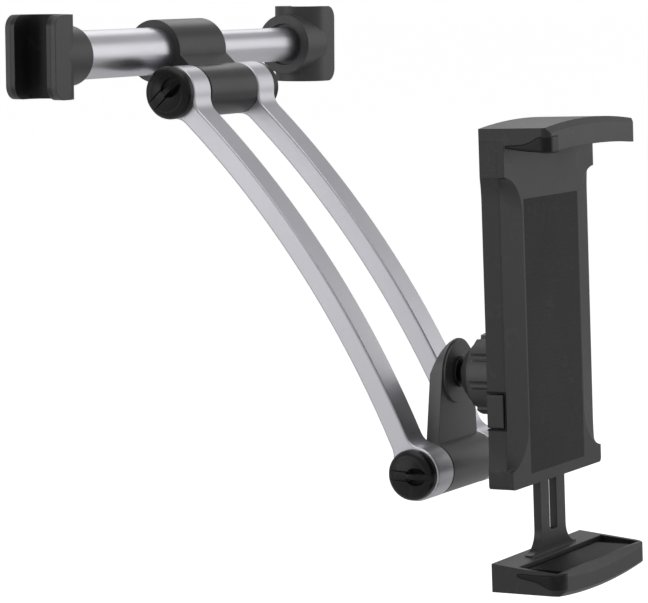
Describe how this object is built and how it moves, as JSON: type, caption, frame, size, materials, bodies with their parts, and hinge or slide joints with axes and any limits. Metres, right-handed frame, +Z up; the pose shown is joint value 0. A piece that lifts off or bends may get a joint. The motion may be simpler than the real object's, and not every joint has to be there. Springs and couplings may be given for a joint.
{
  "type": "headrest tablet mount",
  "caption": "Telescopic bar with rubber-lined hooks for headrest posts, curved aluminium arms on knobbed pivots, and a ball-jointed cradle with spring jaws for a phone or tablet.",
  "frame": {"origin": "centre of the left headrest post's clamp, at half the height of the hook", "axes": "+X along the telescopic bar towards the right post, +Z up along the posts, -Y towards the rear passenger, where the cradle faces"},
  "size_m": [0.1965, 0.1938, 0.2065],
  "materials": {
    "body_plastic": "matte",
    "knob_plastic": "satin",
    "inner_plastic": "smooth",
    "liner_rubber": "matte",
    "tube_aluminium": "bright anodised",
    "arm_aluminium": "fine brushed, anodised",
    "bright_steel": "zinc",
    "black_steel": "black oxide"
  },
  "bodies": {
    "bar": {"outer_tube": "tube_aluminium", "tube_bush": "inner_plastic", "left_plug": "inner_plastic", "left_hook": "body_plastic", "left_hook_pad": "liner_rubber", "left_hook_screw": "bright_steel", "left_spring_pin": "bright_steel", "centre_bracket": "body_plastic", "collar_screw": "black_steel", "bar_spring": "bright_steel"},
    "sliding_end": {"inner_tube": "tube_aluminium", "right_plug": "inner_plastic", "right_hook": "body_plastic", "right_hook_pad": "liner_rubber", "right_hook_screw": "bright_steel", "right_spring_pin": "bright_steel"},
    "arms": {"left_arm": "arm_aluminium", "right_arm": "arm_aluminium", "upper_bolt": "bright_steel", "upper_cap": "knob_plastic", "upper_washers": "inner_plastic", "lower_bolt": "bright_steel", "lower_cap": "knob_plastic", "lower_washers": "inner_plastic"},
    "upper_grip": {"upper_knob": "knob_plastic", "upper_nut": "bright_steel"},
    "lower_grip": {"lower_knob": "knob_plastic", "lower_nut": "bright_steel"},
    "bracket": {"plate_bracket": "body_plastic", "ball_stud": "black_steel", "stud_nut": "bright_steel", "stud_washer": "bright_steel"},
    "ball_tilt_ring": {"ball_washer": "inner_plastic"},
    "ball_swing_ring": {"ball_seat": "inner_plastic"},
    "cradle": {"ball_socket": "body_plastic", "socket_screws": "bright_steel", "back_shell": "body_plastic", "front_cover": "body_plastic", "front_pad": "liner_rubber", "shell_screws": "black_steel", "upper_jaw": "body_plastic", "upper_jaw_pad": "liner_rubber", "jaw_screws": "bright_steel", "jaw_springs": "bright_steel", "button_spring": "bright_steel"},
    "clamp_ring": {"ball_nut": "knob_plastic"},
    "sliding_jaw": {"lower_jaw": "body_plastic", "lower_jaw_pad": "liner_rubber"},
    "button": {"release_button": "knob_plastic", "brake_shoe": "liner_rubber"}
  },
  "joints": [
    {"name": "bar_slide", "type": "slide", "parent": "bar", "child": "sliding_end", "axis": [1, 0, 0], "range_m": [-0.035, 0.02], "deforming": ["bar_spring"]},
    {"name": "arms_hinge", "type": "hinge", "parent": "bar", "child": "arms", "pos_m": [0.088, -0.0164, -0.0149], "axis": [1, 0, 0], "range_deg": [-110, 50]},
    {"name": "upper_knob_turn", "type": "hinge", "parent": "arms", "child": "upper_grip", "pos_m": [0.088, -0.0164, -0.0149], "axis": [1, 0, 0], "continuous": true},
    {"name": "lower_knob_turn", "type": "hinge", "parent": "arms", "child": "lower_grip", "pos_m": [0.088, -0.11925, -0.15089], "axis": [1, 0, 0], "continuous": true},
    {"name": "bracket_hinge", "type": "hinge", "parent": "arms", "child": "bracket", "pos_m": [0.088, -0.11925, -0.15089], "axis": [1, 0, 0], "range_deg": [-20, 90]},
    {"name": "ball_tilt", "type": "hinge", "parent": "bracket", "child": "ball_tilt_ring", "pos_m": [0.088, -0.13525, -0.11659], "axis": [1, 0, 0], "range_deg": [-12, 15]},
    {"name": "ball_swing", "type": "hinge", "parent": "ball_tilt_ring", "child": "ball_swing_ring", "pos_m": [0.088, -0.13525, -0.11659], "axis": [0, 0.0349, 0.9994], "range_deg": [-15, 15]},
    {"name": "cradle_spin", "type": "hinge", "parent": "ball_swing_ring", "child": "cradle", "pos_m": [0.088, -0.13525, -0.11659], "axis": [0, -0.9994, 0.0349], "continuous": true},
    {"name": "clamp_ring_turn", "type": "hinge", "parent": "cradle", "child": "clamp_ring", "pos_m": [0.088, -0.13525, -0.11659], "axis": [0, -0.9994, 0.0349], "continuous": true},
    {"name": "jaw_slide", "type": "slide", "parent": "cradle", "child": "sliding_jaw", "axis": [0, 0.0349, 0.9994], "range_m": [-0.06, 0.016], "deforming": ["jaw_springs"]},
    {"name": "button_push", "type": "slide", "parent": "cradle", "child": "button", "axis": [1, 0, 0], "range_m": [0, 0.0025], "stiffness_N_per_m": 400, "springref_m": -0.001, "deforming": ["button_spring"]}
  ]
}
